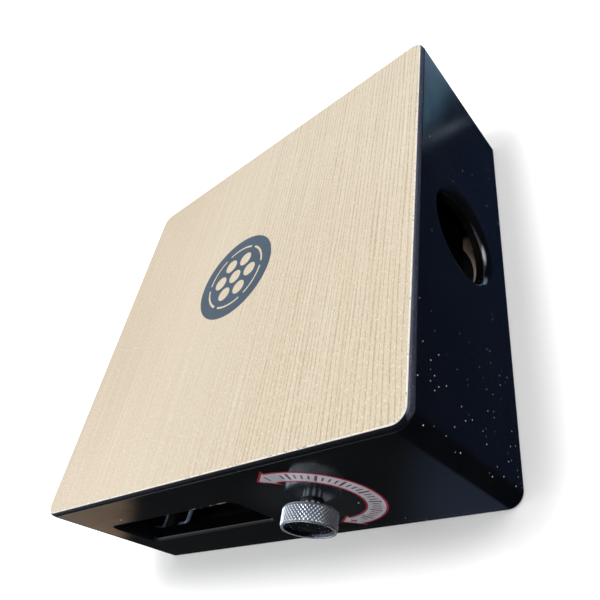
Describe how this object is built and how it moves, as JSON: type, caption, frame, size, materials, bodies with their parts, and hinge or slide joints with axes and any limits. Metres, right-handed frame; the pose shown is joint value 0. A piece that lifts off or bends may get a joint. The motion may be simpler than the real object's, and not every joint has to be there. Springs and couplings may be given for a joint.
{
  "type": "box drum",
  "caption": "Shallow square box drum with a wooden playing face, glossy black sides, a round port, a long slot and a knurled knob that swings snare strands against the face.",
  "frame": {"origin": "middle of the back panel's outer face, on which the drum lies", "axes": "+Z out of the playing face, +X towards the round port, -Y towards the knob and the slot"},
  "size_m": [0.3, 0.3126, 0.1051],
  "materials": {
    "ash_veneer": "satin",
    "black_edge": "satin black",
    "black_lacquer": "gloss black lacquer",
    "black_paint": "matt black paint",
    "raw_wood": "unfinished",
    "badge_ink": "matt print",
    "label_film": "silver film",
    "knurled_steel": "diamond knurled",
    "steel": "bright drawn",
    "dark_steel": "black oxide",
    "brass": "plain",
    "black_nylon": "matt",
    "white_nylon": "matt"
  },
  "bodies": {
    "box": {"face_veneer": "ash_veneer", "playing_plate": "black_edge", "side_far": "black_lacquer", "side_left": "black_lacquer", "side_port": "black_lacquer", "side_knob": "black_lacquer", "back_panel": "black_lacquer", "batten_far": "black_paint", "batten_knob": "black_paint", "batten_left": "black_paint", "batten_port": "raw_wood", "corner_block_1": "black_paint", "corner_block_2": "black_paint", "corner_block_3": "black_paint", "corner_block_4": "black_paint", "badge_print": "badge_ink", "arc_label": "label_film", "spindle_bushing": "brass", "bearing_block": "black_paint", "bearing_screws": "dark_steel", "pivot_block_1": "black_paint", "pivot_block_2": "black_paint", "pivot_block_3": "black_paint", "pivot_block_4": "black_paint"},
    "knob_and_cam": {"knob": "knurled_steel", "knob_washer": "black_nylon", "spindle": "steel", "retaining_ring": "steel", "lift_cam": "white_nylon", "cam_set_screw": "dark_steel"},
    "snare_carrier": {"swing_rod_1": "steel", "swing_rod_2": "steel", "swing_rod_3": "steel", "swing_rod_4": "steel", "snare_bar": "raw_wood", "follower_pin": "steel", "snare_plate_left": "brass", "snare_plate_right": "brass", "snare_strands_left": "steel", "snare_strands_right": "steel", "snare_screws": "steel"}
  },
  "joints": [
    {"name": "knob_turn", "type": "hinge", "parent": "box", "child": "knob_and_cam", "pos_m": [0.052, -0.1485, 0.0525], "axis": [0, 1, 0], "range_deg": [0, 180]},
    {"name": "snare_swing", "type": "hinge", "parent": "box", "child": "snare_carrier", "pos_m": [0, -0.1365, 0.029], "axis": [1, 0, 0], "range_deg": [0, 4]}
  ],
  "couplings": [
    {"joint": "snare_swing", "follows": "knob_turn", "ratio": 0.022222}
  ]
}
